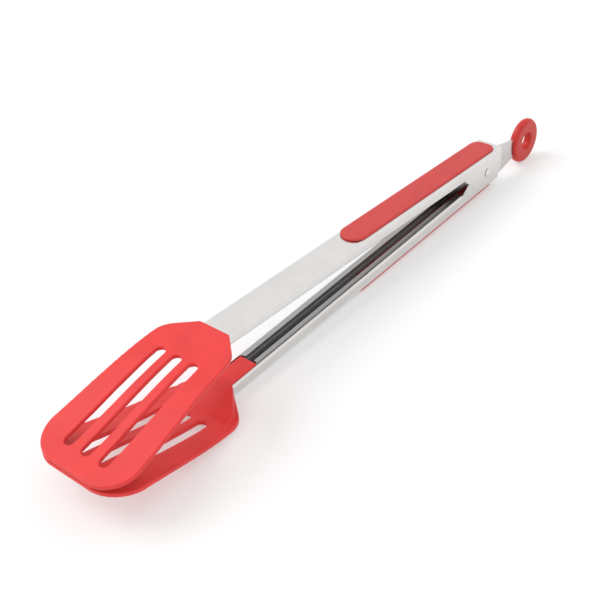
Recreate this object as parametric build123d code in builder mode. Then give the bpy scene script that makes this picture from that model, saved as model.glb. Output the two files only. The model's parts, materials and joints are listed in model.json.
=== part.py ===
"""Spring loaded kitchen tongs with slotted silicone heads, closed and locked. Millimetres.

X runs along the tongs, heads towards -X and pull ring towards +X. Y is the hinge pin's direction,
near side -Y.
Z is up, and the tongs rest on the pull ring and on the lower head's collar at Z = 0.
Each arm has its own side plane: x towards the head, y inward from the arm to the middle plane,
origin on the pin.
"""
from build123d import *
from math import asin, atan, atan2, cos, degrees, hypot, radians, sin, sqrt
import os

# sheet steel arms: lipped channels, the upper one wide enough to straddle the lower one at the hinge
SHEET = 0.8
BEND = 1.5
UPPER_WIDTH = 15.6
LOWER_WIDTH = 12.6
PIVOT = 10.46          # outer web face to the hinge pin's axis
HALF_SPREAD = 2.03     # each arm leans away from the middle plane by this angle when closed
TAIL = 12.7            # arm behind the pin
EAR_FRONT = 22.0       # where the ears' slanting front edge meets the flanges
EAR_TOP = (8.8, 15.6)  # front corner of an ear: distance from the pin, depth from the outer web face
EAR_BACK = 14.5        # an ear's depth at the tail
EAR_ROUND = 3.2
FLANGE_HINGE = 7.1
FLANGE_HEAD = 6.3
LIP_GAP = 5.0
LIP_END = 184.0
ARM_END = 206.0

# silicone grip pads, snapped into a window in each web
PAD_FRONT = 113.5
PAD_BACK = -9.5
PAD_MARGIN = 0.7
PAD_PROUD = 1.25
PAD_LIP = 2.9
PAD_WINDOW = (-6.5, 104.0)
PAD_BACK_ROUND = 5.4
PAD_CLIP = (0.55, 4.0)  # inner lip: its thickness, and where it starts, ahead of the lock slide
FIT = 0.05

# silicone heads
HEAD_START = 202.5
HEAD_TIP = 286.5
TIP_DEPTH = 18.3       # the tip's outer face, inward from the outer web face
COLLAR = 0.6
COLLAR_DEPTH = 8.2
COLLAR_RUN, COLLAR_STEPS = 18.0, 9
COLLAR_FOOT = (1.2, 1.5)  # where the collar ends inside the plate: its outer face's depth, its thickness
COLLAR_INSET = 3.4        # the collar stays this far inside the plate's shoulders
PLATE = 2.1
SHOULDER = (213.5, 20.6)
SHOULDER_ROUND = 13.0
TIP_HALF_WIDTH = 26.9
TIP_ROUND = 14.5
SLOT_WIDTH = 5.0
SLOT_BACK, SLOT_FRONT = 223.4, 278.4
SLOT_SPREAD = (9.3, 10.4)
TONGUE_START = 184.5
TONGUE_TOP = 6.0

# hinge pin and torsion spring
PIN_R = 1.7
RIVET_HEAD = (2.6, 0.8)
WIRE = 1.3
WIRE_JOINT = 0.7       # bead where a leg leaves the coil, a little fatter than the wire
COIL_R = 2.75
COIL_TURNS = 4.5       # the half turn brings both legs forward
COIL_PITCH = 1.5
COIL_NEAR = -2.6
LEG_REACH, LEG_RISE = 20.0, 7.1  # the legs end before the lips begin, so they clear them as the arms open

# lock slide beside the coil, and the pull ring moulded on its tail
LOCK_Y = -4.3
LOCK_SHEET = 1.2
LOCK_TRAVEL = 16.0
LOCK_HALF = 8.4
LOCK_NECK = (30.0, 5.6)
LOCK_TAB = (36.3, 3.6)
LOCK_NOSE = 7.0
RING_BACK = 42.2
RING_R = 12.5
RING_HOLE_R = 4.5
RING_THICK = 4.8
RING_ROUND, RING_HOLE_ROUND = 2.2, 1.3

# lean of the lower arm that puts both the ring and the lower collar on Z = 0
_rise = RING_BACK * sin(radians(HALF_SPREAD)) - (PIVOT + COLLAR)
_run = RING_BACK * cos(radians(HALF_SPREAD)) + HEAD_START
LEAN = degrees(asin(RING_R / hypot(_rise, _run)) + atan2(_rise, _run))
MID_RISE = HALF_SPREAD - LEAN
_head_reach = HEAD_TIP * cos(radians(HALF_SPREAD)) + (TIP_DEPTH + PLATE - PIVOT) * sin(radians(HALF_SPREAD))
PIN_X = ((_head_reach - RING_BACK) * cos(radians(MID_RISE)) - RING_R) / 2
PIN_Z = RING_R + RING_BACK * sin(radians(MID_RISE))


def side_plane(rise, inward_up):
    """Plane through the pin, x towards the heads at this rise, y up or down."""
    a = radians(rise)
    return Plane(origin=(PIN_X, 0, PIN_Z), x_dir=(-cos(a), 0, sin(a)), z_dir=(0, 1 if inward_up else -1, 0))


MIDDLE = side_plane(MID_RISE, True)
LOWER = side_plane(MID_RISE - HALF_SPREAD, True)
UPPER = side_plane(MID_RISE + HALF_SPREAD, False)
LOCK_PLANE = MIDDLE.offset(LOCK_Y)


def section(side, s):
    """Plane across an arm at distance s from the pin, its y inward."""
    return Plane(origin=side.from_local_coords((s, 0, 0)), x_dir=-side.z_dir, z_dir=side.x_dir)


def plan(side, depth):
    """Plane along an arm at this depth inward from the outer web face, its z inward."""
    return Plane(origin=side.from_local_coords((0, depth - PIVOT, 0)), x_dir=side.x_dir, z_dir=side.y_dir)


def channel_section(side, s, width, height):
    with BuildSketch(section(side, s)) as channel:
        with Locations((0, height / 2 - PIVOT)):
            RectangleRounded(width, height, BEND)
            RectangleRounded(width - 2 * SHEET, height - 2 * SHEET, BEND - SHEET, mode=Mode.SUBTRACT)
        with Locations((0, height - PIVOT)):
            Rectangle(LIP_GAP, 3 * SHEET, mode=Mode.SUBTRACT)
    return channel.sketch


def pad_outline(width, margin, back=PAD_BACK, front=PAD_FRONT):
    """A strip on an arm's web, this margin inside its edges: round in front, squarer at the back."""
    across = width - 2 * margin
    with Locations(((front + back) / 2, 0)):
        SlotOverall(front - back, across)
    with Locations((back, 0)):
        RectangleRounded((front - back) / 2, across, min(PAD_BACK_ROUND, 0.45 * across),
                         align=(Align.MIN, Align.CENTER))


def arm(side, width):
    """A lipped channel that ends in two ears round the pin."""
    tall = 2 * EAR_TOP[1]
    with BuildPart() as part:
        with BuildSketch(section(side, -TAIL)):
            with Locations((0, tall / 2 - PIVOT)):
                RectangleRounded(width, tall, BEND)
                RectangleRounded(width - 2 * SHEET, tall - 2 * SHEET, BEND - SHEET, mode=Mode.SUBTRACT)
        extrude(amount=TAIL + EAR_FRONT)
        with BuildSketch(side) as ear:
            with BuildLine():
                Polyline(
                    (-TAIL, -PIVOT), (EAR_FRONT, -PIVOT), (EAR_FRONT, FLANGE_HINGE - PIVOT),
                    (EAR_TOP[0], EAR_TOP[1] - PIVOT), (-TAIL, EAR_BACK - PIVOT), close=True,
                )
            make_face()
            fillet(ear.vertices().sort_by(Axis.Y)[-2:], EAR_ROUND)
        extrude(amount=width, both=True, mode=Mode.INTERSECT)
        loft([
            channel_section(side, EAR_FRONT, width, FLANGE_HINGE),
            channel_section(side, ARM_END, width, FLANGE_HEAD),
        ])
        # the lips are cut away near the head
        with BuildSketch(plan(side, FLANGE_HEAD - BEND - 0.1)):
            with Locations((LIP_END + 20, 0)):
                RectangleRounded(40, width - 2 * SHEET, 2.5)
        extrude(amount=2 * BEND, mode=Mode.SUBTRACT)
        # the grip pad's window
        with BuildSketch(plan(side, -SHEET)):
            pad_outline(width, PAD_MARGIN + PAD_LIP, *PAD_WINDOW)
        extrude(amount=3 * SHEET, mode=Mode.SUBTRACT)
        with BuildSketch(side):
            Circle(PIN_R + FIT)
        extrude(amount=width, both=True, mode=Mode.SUBTRACT)
    return part.part


def grip_pad(side, width):
    """Crowned outside lip, a neck through the web's window and a thin lip inside."""
    with BuildPart() as part:
        with BuildSketch(plan(side, -PAD_PROUD)):
            pad_outline(width, PAD_MARGIN)
        extrude(amount=PAD_PROUD - FIT)
        fillet(part.edges().group_by(Axis(side.origin, side.y_dir))[0], 0.9)
        with BuildSketch(plan(side, -FIT)):
            pad_outline(width, PAD_MARGIN + PAD_LIP + FIT, PAD_WINDOW[0] + FIT, PAD_WINDOW[1] - FIT)
        extrude(amount=SHEET + 2 * FIT)
        with BuildSketch(plan(side, SHEET + FIT)):
            pad_outline(width, PAD_MARGIN + PAD_LIP - 0.7, PAD_WINDOW[0] - 0.7, PAD_WINDOW[1] + 0.7)
            with Locations((PAD_CLIP[1], 0)):
                Rectangle(40, 2 * width, align=(Align.MAX, Align.CENTER), mode=Mode.SUBTRACT)
        extrude(amount=PAD_CLIP[0])
    return part.part


def plate_face(inset):
    """The head's curve from collar to tip in an arm's side plane, this far inside the outer face."""
    stations = ((HEAD_START, -COLLAR), (HEAD_START + 24, 1.9), (HEAD_START + 55, 10.4), (HEAD_TIP, TIP_DEPTH))
    return Spline(*[(s, depth + inset - PIVOT) for s, depth in stations], tangents=[(1, 0), (1, 0.22)])


def plate_outline(half_collar):
    with BuildSketch() as outline:
        with BuildLine():
            Polyline(
                (HEAD_START, half_collar), SHOULDER, (HEAD_TIP, TIP_HALF_WIDTH),
                (HEAD_TIP, -TIP_HALF_WIDTH), (SHOULDER[0], -SHOULDER[1]), (HEAD_START, -half_collar),
                close=True,
            )
        make_face()
        fillet(outline.vertices().sort_by(Axis.X)[4:], TIP_ROUND)
        fillet(outline.vertices().sort_by(Axis.X)[2:4], SHOULDER_ROUND)
        fan = degrees(atan((SLOT_SPREAD[1] - SLOT_SPREAD[0]) / (SLOT_FRONT - SLOT_BACK)))
        for k in (-1, 0, 1):
            middle = ((SLOT_BACK + SLOT_FRONT) / 2, k * sum(SLOT_SPREAD) / 2, 0)
            with Locations(Location(middle, (0, 0, k * fan))):
                SlotOverall(SLOT_FRONT - SLOT_BACK, SLOT_WIDTH, mode=Mode.SUBTRACT)
    return outline.sketch


def head(side, width):
    """Slotted plate, a collar over the arm's end and a tongue that lies inside the channel."""
    collar = width + 2 * COLLAR
    shape = plate_outline(collar / 2)
    with BuildPart() as part:
        with BuildSketch(side):
            with BuildLine():
                outer = plate_face(0)
                inner = plate_face(PLATE)
                Line(outer @ 0, inner @ 0)
                Line(outer @ 1, inner @ 1)
            make_face()
        extrude(amount=TIP_HALF_WIDTH, both=True)
        with BuildSketch(plan(side, 0)):
            add(shape)
        extrude(amount=3 * PIVOT, both=True, mode=Mode.INTERSECT)
        # collar, thinning into the plate as it spreads to the shoulders
        for i in range(COLLAR_STEPS + 1):
            t = i / COLLAR_STEPS
            fade = t * t * (3 - 2 * t)
            start = -COLLAR + (COLLAR_FOOT[0] + COLLAR) * fade
            deep = COLLAR_DEPTH + (COLLAR_FOOT[1] - COLLAR_DEPTH) * fade
            spread = min(1, COLLAR_RUN * t / (SHOULDER[0] - HEAD_START))
            across = collar + (2 * (SHOULDER[1] - COLLAR_INSET) - collar) * spread
            with BuildSketch(section(side, HEAD_START + COLLAR_RUN * t)):
                with Locations((0, start + deep / 2 - PIVOT)):
                    RectangleRounded(across, deep, 0.7)
        loft(ruled=True)
        # socket for the arm's end
        with BuildSketch(section(side, HEAD_START - 1)):
            with Locations((0, FLANGE_HEAD / 2 - PIVOT)):
                RectangleRounded(width + 2 * FIT, FLANGE_HEAD + 4 * FIT, BEND - 0.2)
            with Locations((0, SHEET + FIT + FLANGE_HEAD / 2 - PIVOT)):
                RectangleRounded(width - 2 * SHEET - 2 * FIT, FLANGE_HEAD, 0.6, mode=Mode.SUBTRACT)
        extrude(amount=ARM_END - HEAD_START + 1 + FIT, mode=Mode.SUBTRACT)
        with BuildSketch(section(side, TONGUE_START)):
            with Locations((0, (SHEET + 2 * FIT + TONGUE_TOP) / 2 - PIVOT)):
                RectangleRounded(width - 2 * (SHEET + FIT), TONGUE_TOP - SHEET - 2 * FIT, 0.6)
        extrude(amount=HEAD_START - TONGUE_START + 3)
    return part.part


def hinge_pin():
    """A rivet with a domed head on each side."""
    radius, rise = RIVET_HEAD
    reach = UPPER_WIDTH / 2 + 0.1
    with BuildPart() as part:
        with BuildSketch(MIDDLE):
            Circle(PIN_R)
        extrude(amount=reach, both=True)
        for y in (-reach - rise, reach):
            with BuildSketch(MIDDLE.offset(y)):
                Circle(radius)
            extrude(amount=rise)
        ends = part.edges().filter_by(GeomType.CIRCLE).sort_by(Axis.Y)
        fillet([ends[0], ends[-1]], 0.5)
    return part.part


def torsion_spring():
    """Coil round the pin; both legs leave it on a tangent, one under each arm's web."""
    reach = hypot(LEG_REACH, LEG_RISE)
    spread = degrees(atan2(LEG_RISE, LEG_REACH) - asin(COIL_R / reach))
    leg_length = sqrt(reach**2 - COIL_R**2)
    turns = COIL_TURNS - 2 * spread / 360
    length = turns * COIL_PITCH
    with BuildPart() as part:
        with BuildLine() as coil:
            Helix(COIL_PITCH, length, COIL_R)
        with BuildSketch(Plane(origin=coil.line @ 0, z_dir=coil.line % 0)):
            Circle(WIRE / 2)
        sweep(path=coil.line)
        for end, way in ((0, -1), (1, 1)):
            tangent = coil.line % end
            with Locations(coil.line @ end):
                Sphere(WIRE_JOINT)
            with BuildSketch(Plane(origin=coil.line @ end, z_dir=Vector(tangent.X, tangent.Y, 0) * way)):
                Circle(WIRE / 2)
            extrude(amount=leg_length)
    return part.part.moved(MIDDLE.offset(COIL_NEAR).location * Location((0, 0, 0), (0, 0, 90 + spread)))


def lock_slide():
    """Flat wedge with a slot for the pin; pulled back, its tall part keeps the tails apart."""
    tail, tail_half = LOCK_NECK
    tab, tab_half = LOCK_TAB
    upper_edge = [
        (LOCK_NOSE, 4.6), (2.5, LOCK_HALF), (-TAIL - 0.5, LOCK_HALF), (-TAIL - 4.5, LOCK_HALF - 0.3),
        (-tail, tail_half), (-tail, tab_half), (-tab, tab_half),
    ]
    with BuildPart() as part:
        with BuildSketch(LOCK_PLANE) as profile:
            with BuildLine():
                Polyline(*upper_edge, *[(m, -v) for m, v in reversed(upper_edge)], close=True)
            make_face()
            fillet(profile.vertices().sort_by(Axis.X)[-4:], 1.8)
            with Locations((-LOCK_TRAVEL / 2, 0)):
                SlotOverall(LOCK_TRAVEL + 2 * PIN_R + 4 * FIT, 2 * PIN_R + 4 * FIT, mode=Mode.SUBTRACT)
        extrude(amount=LOCK_SHEET / 2, both=True)
    return part.part


def pull_ring():
    """Chunky ring with a pocket for the slide's tab."""
    tab, tab_half = LOCK_TAB
    with BuildPart() as part:
        with BuildSketch(LOCK_PLANE):
            with Locations((-RING_BACK, 0)):
                Circle(RING_R)
                Circle(RING_HOLE_R, mode=Mode.SUBTRACT)
        extrude(amount=RING_THICK / 2, both=True)
        rims = part.edges().filter_by(GeomType.CIRCLE).sort_by(SortBy.RADIUS)
        fillet(rims[2:], RING_ROUND)
        fillet(rims[:2], RING_HOLE_ROUND)
        with BuildSketch(LOCK_PLANE):
            with Locations((-tab / 2 - FIT - 10, 0)):
                Rectangle(tab - 20, 2 * (tab_half + FIT))
        extrude(amount=LOCK_SHEET / 2 + FIT, both=True, mode=Mode.SUBTRACT)
    return part.part


PARTS = {
    "lower_arm": arm(LOWER, LOWER_WIDTH),
    "upper_arm": arm(UPPER, UPPER_WIDTH),
    "lower_grip_pad": grip_pad(LOWER, LOWER_WIDTH),
    "upper_grip_pad": grip_pad(UPPER, UPPER_WIDTH),
    "lower_head": head(LOWER, LOWER_WIDTH),
    "upper_head": head(UPPER, UPPER_WIDTH),
    "hinge_pin": hinge_pin(),
    "torsion_spring": torsion_spring(),
    "lock_slide": lock_slide(),
    "pull_ring": pull_ring(),
}

os.makedirs("parts", exist_ok=True)
for name, part in PARTS.items():
    part.label = name
    export_step(part, f"parts/{name}.step")
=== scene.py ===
"""Spring loaded kitchen tongs: the looks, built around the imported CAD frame. Metres."""
import json
from math import atan2, cos, pi, radians, sin, tau

import bpy
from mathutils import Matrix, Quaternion, Vector


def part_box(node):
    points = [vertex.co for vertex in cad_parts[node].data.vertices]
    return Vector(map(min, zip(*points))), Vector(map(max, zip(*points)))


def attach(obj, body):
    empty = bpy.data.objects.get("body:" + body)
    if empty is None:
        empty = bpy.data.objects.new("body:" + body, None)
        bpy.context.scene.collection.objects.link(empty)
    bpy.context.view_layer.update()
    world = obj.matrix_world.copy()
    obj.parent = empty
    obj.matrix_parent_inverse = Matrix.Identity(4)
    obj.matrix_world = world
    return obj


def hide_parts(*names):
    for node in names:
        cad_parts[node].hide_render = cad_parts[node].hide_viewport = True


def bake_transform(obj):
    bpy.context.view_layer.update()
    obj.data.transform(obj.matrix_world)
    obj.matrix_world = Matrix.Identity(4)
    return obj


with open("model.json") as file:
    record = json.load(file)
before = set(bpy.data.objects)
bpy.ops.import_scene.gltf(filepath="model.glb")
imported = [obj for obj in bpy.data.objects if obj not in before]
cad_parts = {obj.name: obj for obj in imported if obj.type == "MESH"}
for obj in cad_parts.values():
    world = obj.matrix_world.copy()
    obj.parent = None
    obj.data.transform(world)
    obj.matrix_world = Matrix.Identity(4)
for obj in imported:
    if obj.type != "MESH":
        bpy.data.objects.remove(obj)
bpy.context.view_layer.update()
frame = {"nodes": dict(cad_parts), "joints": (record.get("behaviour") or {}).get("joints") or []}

MM = 0.001
NODES = frame["nodes"]
JOINTS = {joint["name"]: joint for joint in frame["joints"]}

# the arms: sheet thickness, outer web face to the pin, and each arm's lean from the middle plane
SHEET = 0.8 * MM
PIVOT = 10.46 * MM
HALF_SPREAD = radians(2.03)

# the rivet: its shank's radius, and the height, upright edge and shape of the dome on each end
SHANK = 1.7 * MM
DOME, DOME_EDGE, DOME_POWER = 0.8 * MM, 0.12 * MM, 0.8
DOME_STEPS, RIVET_SIDES = 10, 64

# each moulding's grid and how many passes round its edges; the width of the sheets' broken edges
HEAD_FORM = (0.34 * MM, 6)
PAD_FORM = (0.32 * MM, 7)
RING_FORM = (0.25 * MM, 8)
ARM_EDGE, SLIDE_EDGE = 0.1 * MM, 0.12 * MM

# camera: where it stands, what it looks at, how far it is tilted, and its lens and sensor in mm
EYE = Vector((-0.3262, -0.2767, 0.3208))
AIM = Vector((-0.0296, 0.0020, 0.0150))
ROLL = radians(-5.41)
LENS, SENSOR = 65.9, 36

# light: the key's direction, width and strength, and the table
KEY_FROM, KEY_WIDTH, KEY_STRENGTH = (-0.35, 0.75, 0.95), radians(38), 1.25
TABLE_HALF = 6.0
TABLE_LOOK = {
    "Base Color": (0.52, 0.52, 0.52, 1),
    "Emission Color": (1, 1, 1, 1),
    "Emission Strength": 0.38,
    "Roughness": 0.9,
    "Specular IOR Level": 0.1,
}

STEEL_TINT = (0.765, 0.752, 0.738)
# painted shade: the darker steel colour for the arms' inner faces and lips stands in for the shade
# inside the channel
CHANNEL_SHADE_TINT = (0.40, 0.395, 0.39)
SPRING_TINT = (0.60, 0.60, 0.60)
SLIDE_TINT = (0.66, 0.645, 0.64)
HEAD_RED = (0.72, 0.042, 0.040)
PAD_RED = (0.54, 0.050, 0.047)
RING_RED = (0.55, 0.030, 0.022)

ARM_ROUGHNESS, INNER_ROUGHNESS = 0.17, 0.34
PIN_ROUGHNESS, SPRING_ROUGHNESS, SLIDE_ROUGHNESS = 0.14, 0.30, 0.26
HEAD_ROUGHNESS, PAD_ROUGHNESS, RING_ROUGHNESS = 0.40, 0.50, 0.36

# noise: the part of its range that is used, and the scale of each pattern, per metre
NOISE_LOW, NOISE_HIGH = 0.3, 0.7
GRAIN_SCALE, GRAIN_STRETCH, GRAIN_DETAIL, GRAIN_DEPTH = 900, (0.02, 1, 1), 4, 0.004 * MM
MARKS_SCALE, MARKS_SHADE = 60, 0.93
SKIN_SCALE, SKIN_DETAIL, SKIN_DEPTH = 4000, 2, 0.012 * MM
CLOUD_SCALE, CLOUD_SHADE, GLOSS_SCALE = 90, 0.90, 250
SILICONE_LOOK = {
    "Subsurface Weight": 0.12,
    "Subsurface Radius": (0.002, 0.0004, 0.0003),
    "IOR": 1.42,
    "Specular IOR Level": 0.38,
}

# a Mix node's A, B and Result sockets, which share their names between data types
MIX_SOCKETS = {"RGBA": (6, 7, 2), "FLOAT": (2, 3, 0)}


def arm_plane(sign):
    """An arm's inward direction, and its outer web face's distance along it: +1 is the lower arm."""
    along = JOINTS["lock_push"]["axis"]
    rise = atan2(along[2], -along[0]) - sign * HALF_SPREAD
    inward = Vector((sin(rise), 0, cos(rise))) * sign
    return inward, inward.dot(Vector(JOINTS["arms_open"]["pos_m"])) - PIVOT


ARM_PLANES = {"lower": arm_plane(1), "upper": arm_plane(-1)}


def placed(name, data):
    """A new object in the scene."""
    made = bpy.data.objects.new(name, data)
    bpy.context.scene.collection.objects.link(made)
    return made


def aim(thing, direction, axis, roll=0.0):
    """Points an object's own axis in a direction, rolled about its Z axis."""
    thing.rotation_mode = "QUATERNION"
    thing.rotation_quaternion = direction.to_track_quat(axis, "Y") @ Quaternion((0, 0, 1), roll)


def look():
    """The camera."""
    data = bpy.data.cameras.new("camera")
    data.lens, data.sensor_width = LENS, SENSOR
    data.clip_start, data.clip_end = 0.01, 50
    camera = placed("camera", data)
    camera.location = EYE
    aim(camera, AIM - EYE, "-Z", ROLL)
    bpy.context.scene.camera = camera


def studio():
    """White sky, one broad soft key from behind on the left, and a table.

    The table glows a little, which keeps its shadows light.
    """
    world = bpy.data.worlds.new("studio")
    bpy.context.scene.world = world
    world.use_nodes = True
    sky = world.node_tree.nodes["Background"]
    sky.inputs["Color"].default_value = (1, 1, 1, 1)
    sky.inputs["Strength"].default_value = 1.0

    key = bpy.data.lights.new("key", "SUN")
    key.angle, key.energy = KEY_WIDTH, KEY_STRENGTH
    aim(placed("key", key), Vector(KEY_FROM), "Z")

    mesh = bpy.data.meshes.new("floor")
    corners = [(-1, -1), (1, -1), (1, 1), (-1, 1)]
    mesh.from_pydata([(TABLE_HALF * x, TABLE_HALF * y, 0) for x, y in corners], [], [(0, 1, 2, 3)])
    floor = placed("floor", mesh)
    material, _, _, shader = new_material("floor")
    set_constants(shader, TABLE_LOOK)
    mesh.materials.append(material)


def new_material(name):
    """A material of this script's own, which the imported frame's materials can't be taken for."""
    material = bpy.data.materials.new(name)
    material.use_nodes = True
    tree = material.node_tree
    return material, tree.nodes, tree.links, tree.nodes["Principled BSDF"]


def set_constants(shader, values):
    """Sets constants on the shader's own sockets."""
    for socket, value in values.items():
        shader.inputs[socket].default_value = value


def noise(nodes, links, scale, stretch=(1, 1, 1), detail=3):
    """Noise over the piece's own coordinates, in metres, stretched along its axes."""
    place = nodes.new("ShaderNodeTexCoord")
    mapping = nodes.new("ShaderNodeMapping")
    mapping.inputs["Scale"].default_value = stretch
    texture = nodes.new("ShaderNodeTexNoise")
    texture.inputs["Scale"].default_value = scale
    texture.inputs["Detail"].default_value = detail
    links.new(place.outputs["Object"], mapping.inputs["Vector"])
    links.new(mapping.outputs["Vector"], texture.inputs["Vector"])
    return texture.outputs["Fac"]


def spread(nodes, links, value, low, high):
    """Maps a noise value to the range low to high."""
    node = nodes.new("ShaderNodeMapRange")
    node.inputs["From Min"].default_value = NOISE_LOW
    node.inputs["From Max"].default_value = NOISE_HIGH
    node.inputs["To Min"].default_value = low
    node.inputs["To Max"].default_value = high
    links.new(value, node.inputs["Value"])
    return node.outputs["Result"]


def two_tone(nodes, links, value, dark, light):
    """Maps a noise value to colours from dark to light."""
    ramp = nodes.new("ShaderNodeValToRGB")
    first, last = ramp.color_ramp.elements
    first.position, last.position = NOISE_LOW, NOISE_HIGH
    first.color, last.color = (*dark, 1), (*light, 1)
    links.new(value, ramp.inputs["Fac"])
    return ramp.outputs["Color"]


def bump(nodes, links, value, height, shader):
    """A fine unevenness of the surface, at most this high."""
    node = nodes.new("ShaderNodeBump")
    node.inputs["Distance"].default_value = height
    node.inputs["Strength"].default_value = 1.0
    links.new(value, node.inputs["Height"])
    links.new(node.outputs["Normal"], shader.inputs["Normal"])


def maths(nodes, links, operation, first, second=0.0):
    """One Math node on two values, which are numbers or sockets."""
    node = nodes.new("ShaderNodeMath")
    node.operation = operation
    for socket, value in zip(node.inputs, (first, second)):
        if isinstance(value, (int, float)):
            socket.default_value = value
        else:
            links.new(value, socket)
    return node.outputs["Value"]


def steel(name, tint, roughness):
    """Satin sheet steel, its grain running along X, with faint handling marks."""
    material, nodes, links, shader = new_material(name)
    shader.inputs["Metallic"].default_value = 1.0
    lines = noise(nodes, links, GRAIN_SCALE, GRAIN_STRETCH, GRAIN_DETAIL)
    marks = noise(nodes, links, MARKS_SCALE)
    darker = tuple(MARKS_SHADE * c for c in tint)
    links.new(two_tone(nodes, links, marks, darker, tint), shader.inputs["Base Color"])
    links.new(spread(nodes, links, lines, roughness - 0.04, roughness + 0.06),
              shader.inputs["Roughness"])
    bump(nodes, links, lines, GRAIN_DEPTH, shader)
    return material


def swap_where(nodes, links, mask, shader, socket, kind, value):
    """Gives a linked socket of the shader another, constant value where the mask is 1."""
    mix = nodes.new("ShaderNodeMix")
    mix.data_type = kind
    a, b, result = MIX_SOCKETS[kind]
    links.new(mask, mix.inputs["Factor"])
    links.new(shader.inputs[socket].links[0].from_socket, mix.inputs[a])
    mix.inputs[b].default_value = value
    links.new(mix.outputs[result], shader.inputs[socket])


def sheet_steel(name, side, tint, roughness):
    """An arm's sheet: satin outside, and rougher inside and on its lips, with painted shade there: a
    darker colour standing in for the shade inside the channel.
    """
    material = steel(name, tint, roughness)
    nodes, links = material.node_tree.nodes, material.node_tree.links
    shader = nodes["Principled BSDF"]
    inward, web = ARM_PLANES[side]
    low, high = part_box(side + "_arm")
    begins = 0.75 * SHEET  # from the outer face, so that only the inner face lies beyond it
    place = nodes.new("ShaderNodeTexCoord")
    depth = nodes.new("ShaderNodeVectorMath")
    depth.operation = "DOT_PRODUCT"
    depth.inputs[1].default_value = inward
    links.new(place.outputs["Object"], depth.inputs[0])
    split = nodes.new("ShaderNodeSeparateXYZ")
    links.new(place.outputs["Object"], split.inputs["Vector"])
    across = maths(nodes, links, "ABSOLUTE", split.outputs["Y"])
    within = maths(nodes, links, "LESS_THAN", across, (high.y - low.y) / 2 - begins)
    inside = maths(nodes, links, "GREATER_THAN", depth.outputs["Value"], web + begins)
    # painted shade: this mask marks the channel's inner faces and lips, which get the darker colour
    # standing in for the shade there
    inner = maths(nodes, links, "MULTIPLY", within, inside)
    swap_where(nodes, links, inner, shader, "Base Color", "RGBA", (*CHANNEL_SHADE_TINT, 1))
    swap_where(nodes, links, inner, shader, "Roughness", "FLOAT", INNER_ROUGHNESS)
    return material


def silicone(name, red, roughness):
    """Moulded silicone: a fine satin skin, slightly uneven in colour and gloss."""
    material, nodes, links, shader = new_material(name)
    set_constants(shader, SILICONE_LOOK)
    cloud = noise(nodes, links, CLOUD_SCALE)
    darker = tuple(CLOUD_SHADE * c for c in red)
    links.new(two_tone(nodes, links, cloud, darker, red), shader.inputs["Base Color"])
    gloss = noise(nodes, links, GLOSS_SCALE)
    links.new(spread(nodes, links, gloss, roughness - 0.05, roughness + 0.05),
              shader.inputs["Roughness"])
    bump(nodes, links, noise(nodes, links, SKIN_SCALE, detail=SKIN_DETAIL), SKIN_DEPTH, shader)
    return material


def smooth_shaded(mesh):
    """Shades a mesh as one smooth surface."""
    mesh.polygons.foreach_set("use_smooth", [True] * len(mesh.polygons))


def dress(mesh, material):
    """Gives a mesh this material and no other."""
    mesh.materials.clear()
    mesh.materials.append(material)


def apply_modifiers(piece):
    """Leaves the modified shape as the piece's own mesh."""
    depsgraph = bpy.context.evaluated_depsgraph_get()
    made = bpy.data.meshes.new_from_object(piece.evaluated_get(depsgraph))
    old = piece.data
    piece.modifiers.clear()
    piece.data = made
    bpy.data.meshes.remove(old)


def moulding(node, body, slot, material, grid, rounding):
    """A soft moulding: the node's form with every edge rounded as a mould leaves it."""
    piece = placed("moulded_" + node, NODES[node].data.copy())
    remesh = piece.modifiers.new("even grid", "REMESH")
    remesh.mode, remesh.voxel_size = "VOXEL", grid
    settle = piece.modifiers.new("back onto the form", "SHRINKWRAP")
    settle.target, settle.wrap_method = NODES[node], "NEAREST_SURFACEPOINT"
    soften = piece.modifiers.new("round edges", "SMOOTH")
    soften.factor, soften.iterations = 0.5, rounding
    apply_modifiers(piece)
    piece.data.name = piece.name
    smooth_shaded(piece.data)
    dress(piece.data, material)
    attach(piece, body)
    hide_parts(node)


def turned(profile, centre, sides):
    """Mesh turned about the Y direction through centre, closed on the axis at both ends.

    The profile's points are (along Y, radius).
    """
    rings = profile[1:-1]
    points = [(centre.x, profile[0][0], centre.z)]
    for along, radius in rings:
        for i in range(sides):
            a = tau * i / sides
            points.append((centre.x + radius * cos(a), along, centre.z + radius * sin(a)))
    points.append((centre.x, profile[-1][0], centre.z))
    faces = [(0, 1 + (i + 1) % sides, 1 + i) for i in range(sides)]
    for r in range(len(rings) - 1):
        for i in range(sides):
            a, b = 1 + r * sides + i, 1 + r * sides + (i + 1) % sides
            faces.append((a, b, b + sides, a + sides))
    last = len(points) - 1
    start = 1 + (len(rings) - 1) * sides
    faces += [(last, start + i, start + (i + 1) % sides) for i in range(sides)]
    mesh = bpy.data.meshes.new("turned")
    mesh.from_pydata(points, [], faces)
    mesh.update()
    return mesh


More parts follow.
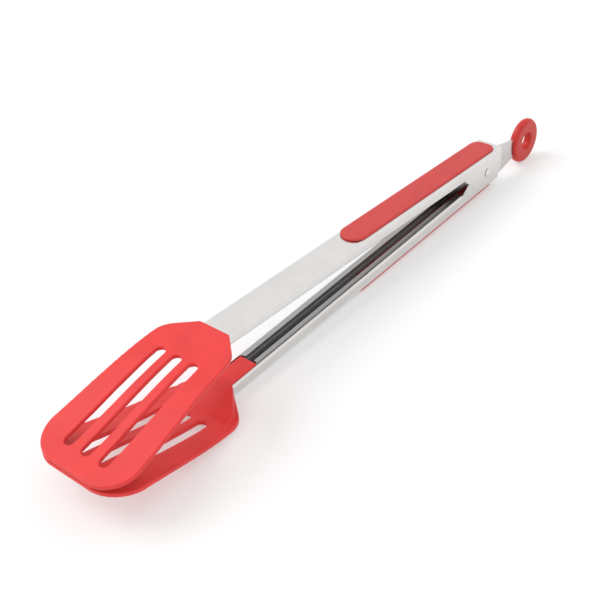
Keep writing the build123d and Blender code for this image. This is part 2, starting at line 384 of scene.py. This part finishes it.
def rivet(material):
    """Hinge pin: a plain shank with a pressed dome at each end."""
    low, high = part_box("hinge_pin")
    centre = (low + high) / 2
    head_radius = (high.x - low.x) / 2
    inner = high.y - DOME
    half = [(inner, SHANK), (inner, head_radius - DOME_EDGE), (inner + DOME_EDGE, head_radius)]
    for i in range(1, DOME_STEPS):
        a = i / DOME_STEPS * pi / 2
        along = inner + DOME_EDGE + (DOME - DOME_EDGE) * sin(a)
        half.append((along, head_radius * cos(a) ** DOME_POWER))
    half.append((high.y, 0))
    profile = [(-y, r) for y, r in reversed(half)] + half
    piece = placed("domed_hinge_pin", turned(profile, centre, RIVET_SIDES))
    smooth_shaded(piece.data)
    dress(piece.data, material)
    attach(piece, "core")
    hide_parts("hinge_pin")


def spring(material):
    """The coil: a copy of the frame's spring, smooth shaded and in steel, with its place baked into
    its mesh.
    """
    piece = placed("sprung_coil", NODES["torsion_spring"].data.copy())
    smooth_shaded(piece.data)
    dress(piece.data, material)
    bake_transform(piece)
    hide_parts("torsion_spring")


def break_edges(node, width):
    """Takes the sharpness off a pressed sheet's cut edges."""
    bevel = NODES[node].modifiers.new("broken edges", "BEVEL")
    bevel.width, bevel.segments = width, 2
    bevel.limit_method, bevel.angle_limit = "ANGLE", radians(50)
    bevel.use_clamp_overlap = True


bpy.context.scene.view_settings.view_transform = "Standard"
look()
studio()

head_silicone = silicone("head_skin", HEAD_RED, HEAD_ROUGHNESS)
pad_silicone = silicone("pad_skin", PAD_RED, PAD_ROUGHNESS)
ring_silicone = silicone("ring_skin", RING_RED, RING_ROUGHNESS)

for side in ("lower", "upper"):
    arm_steel = sheet_steel(side + "_sheet_steel", side, STEEL_TINT, ARM_ROUGHNESS)
    dress(NODES[side + "_arm"].data, arm_steel)
    break_edges(side + "_arm", ARM_EDGE)
    moulding(side + "_head", side, "head_silicone", head_silicone, *HEAD_FORM)
    moulding(side + "_grip_pad", side, "pad_silicone", pad_silicone, *PAD_FORM)
moulding("pull_ring", "lock", "ring_silicone", ring_silicone, *RING_FORM)
rivet(steel("pin_finish", STEEL_TINT, PIN_ROUGHNESS))
spring(steel("spring_finish", SPRING_TINT, SPRING_ROUGHNESS))
dress(NODES["lock_slide"].data, steel("slide_finish", SLIDE_TINT, SLIDE_ROUGHNESS))
break_edges("lock_slide", SLIDE_EDGE)
